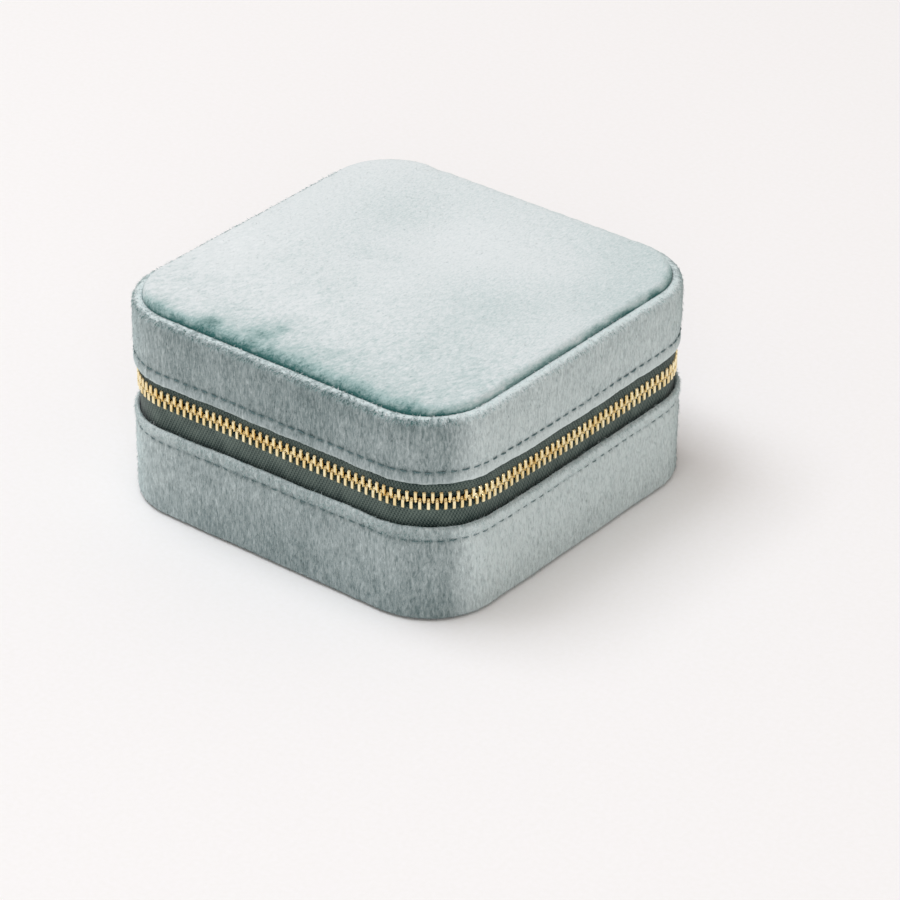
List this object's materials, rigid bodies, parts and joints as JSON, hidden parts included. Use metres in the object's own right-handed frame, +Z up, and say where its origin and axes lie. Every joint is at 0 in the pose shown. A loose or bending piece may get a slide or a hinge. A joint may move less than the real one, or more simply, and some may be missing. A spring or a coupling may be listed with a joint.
{
  "type": "travel jewelry case",
  "caption": "Small square velvet travel case for jewelry, with round corners, a metal zip, a hinged padded lid with a mirror, divided compartments and ring rolls.",
  "frame": {"origin": "centre of the bottom face that the case rests on", "axes": "+Z up; -Y is the front, +Y the back with the fabric hinge, +X the right side and -X the left side, where the zip slider is parked"},
  "size_m": [0.1045, 0.1, 0.0512],
  "materials": {
    "side_velvet": "short-pile dusty teal velvet with upright nap",
    "top_velvet": "short-pile pale grey-teal velvet, brushed flat",
    "lining_velvet": "fine flocked velvet lining",
    "zip_tape": "dark grey-green woven polyester tape",
    "brass": "polished light gold brass",
    "shell_board": "plain moulded plastic",
    "foam": "soft polyurethane foam sheet",
    "mirror_glass": "silvered glass mirror"
  },
  "bodies": {
    "base": {"base_shell": "shell_board", "base_side_velvet": "side_velvet", "base_bottom_velvet": "side_velvet", "base_lining": "lining_velvet", "base_floor_pad": "lining_velvet", "cross_divider": "lining_velvet", "short_divider_1": "lining_velvet", "short_divider_2": "lining_velvet", "ring_roll_1": "lining_velvet", "ring_roll_2": "lining_velvet", "ring_roll_3": "lining_velvet", "ring_roll_4": "lining_velvet", "zip_tape_lower": "zip_tape", "zip_teeth_lower": "brass", "zip_top_stop_lower": "brass", "zip_bottom_stop": "brass", "hinge_strip": "side_velvet", "hinge_lining": "lining_velvet"},
    "lid": {"lid_shell": "shell_board", "lid_side_velvet": "side_velvet", "lid_foam": "foam", "lid_top_velvet": "top_velvet", "lid_lining": "lining_velvet", "mirror_backing": "shell_board", "mirror": "mirror_glass", "mirror_frame": "lining_velvet", "zip_tape_upper": "zip_tape", "zip_teeth_upper": "brass", "zip_top_stop_upper": "brass"},
    "slider": {"slider_body": "brass"},
    "pull": {"pull_tab": "brass"}
  },
  "joints": [
    {"name": "lid_hinge", "type": "hinge", "parent": "base", "child": "lid", "pos_m": [0, 0.05, 0.0302], "axis": [-1, 0, 0], "range_deg": [0, 110], "deforming": ["hinge_strip", "hinge_lining"]},
    {"name": "zip_slide", "type": "slide", "parent": "base", "child": "slider", "axis": [0, -1, 0], "range_m": [0, 0.052], "deforming": ["zip_teeth_lower", "zip_teeth_upper"]},
    {"name": "pull_swing", "type": "hinge", "parent": "slider", "child": "pull", "pos_m": [-0.0529, 0.0255, 0.0302], "axis": [0, 1, 0], "range_deg": [0, 170]}
  ]
}
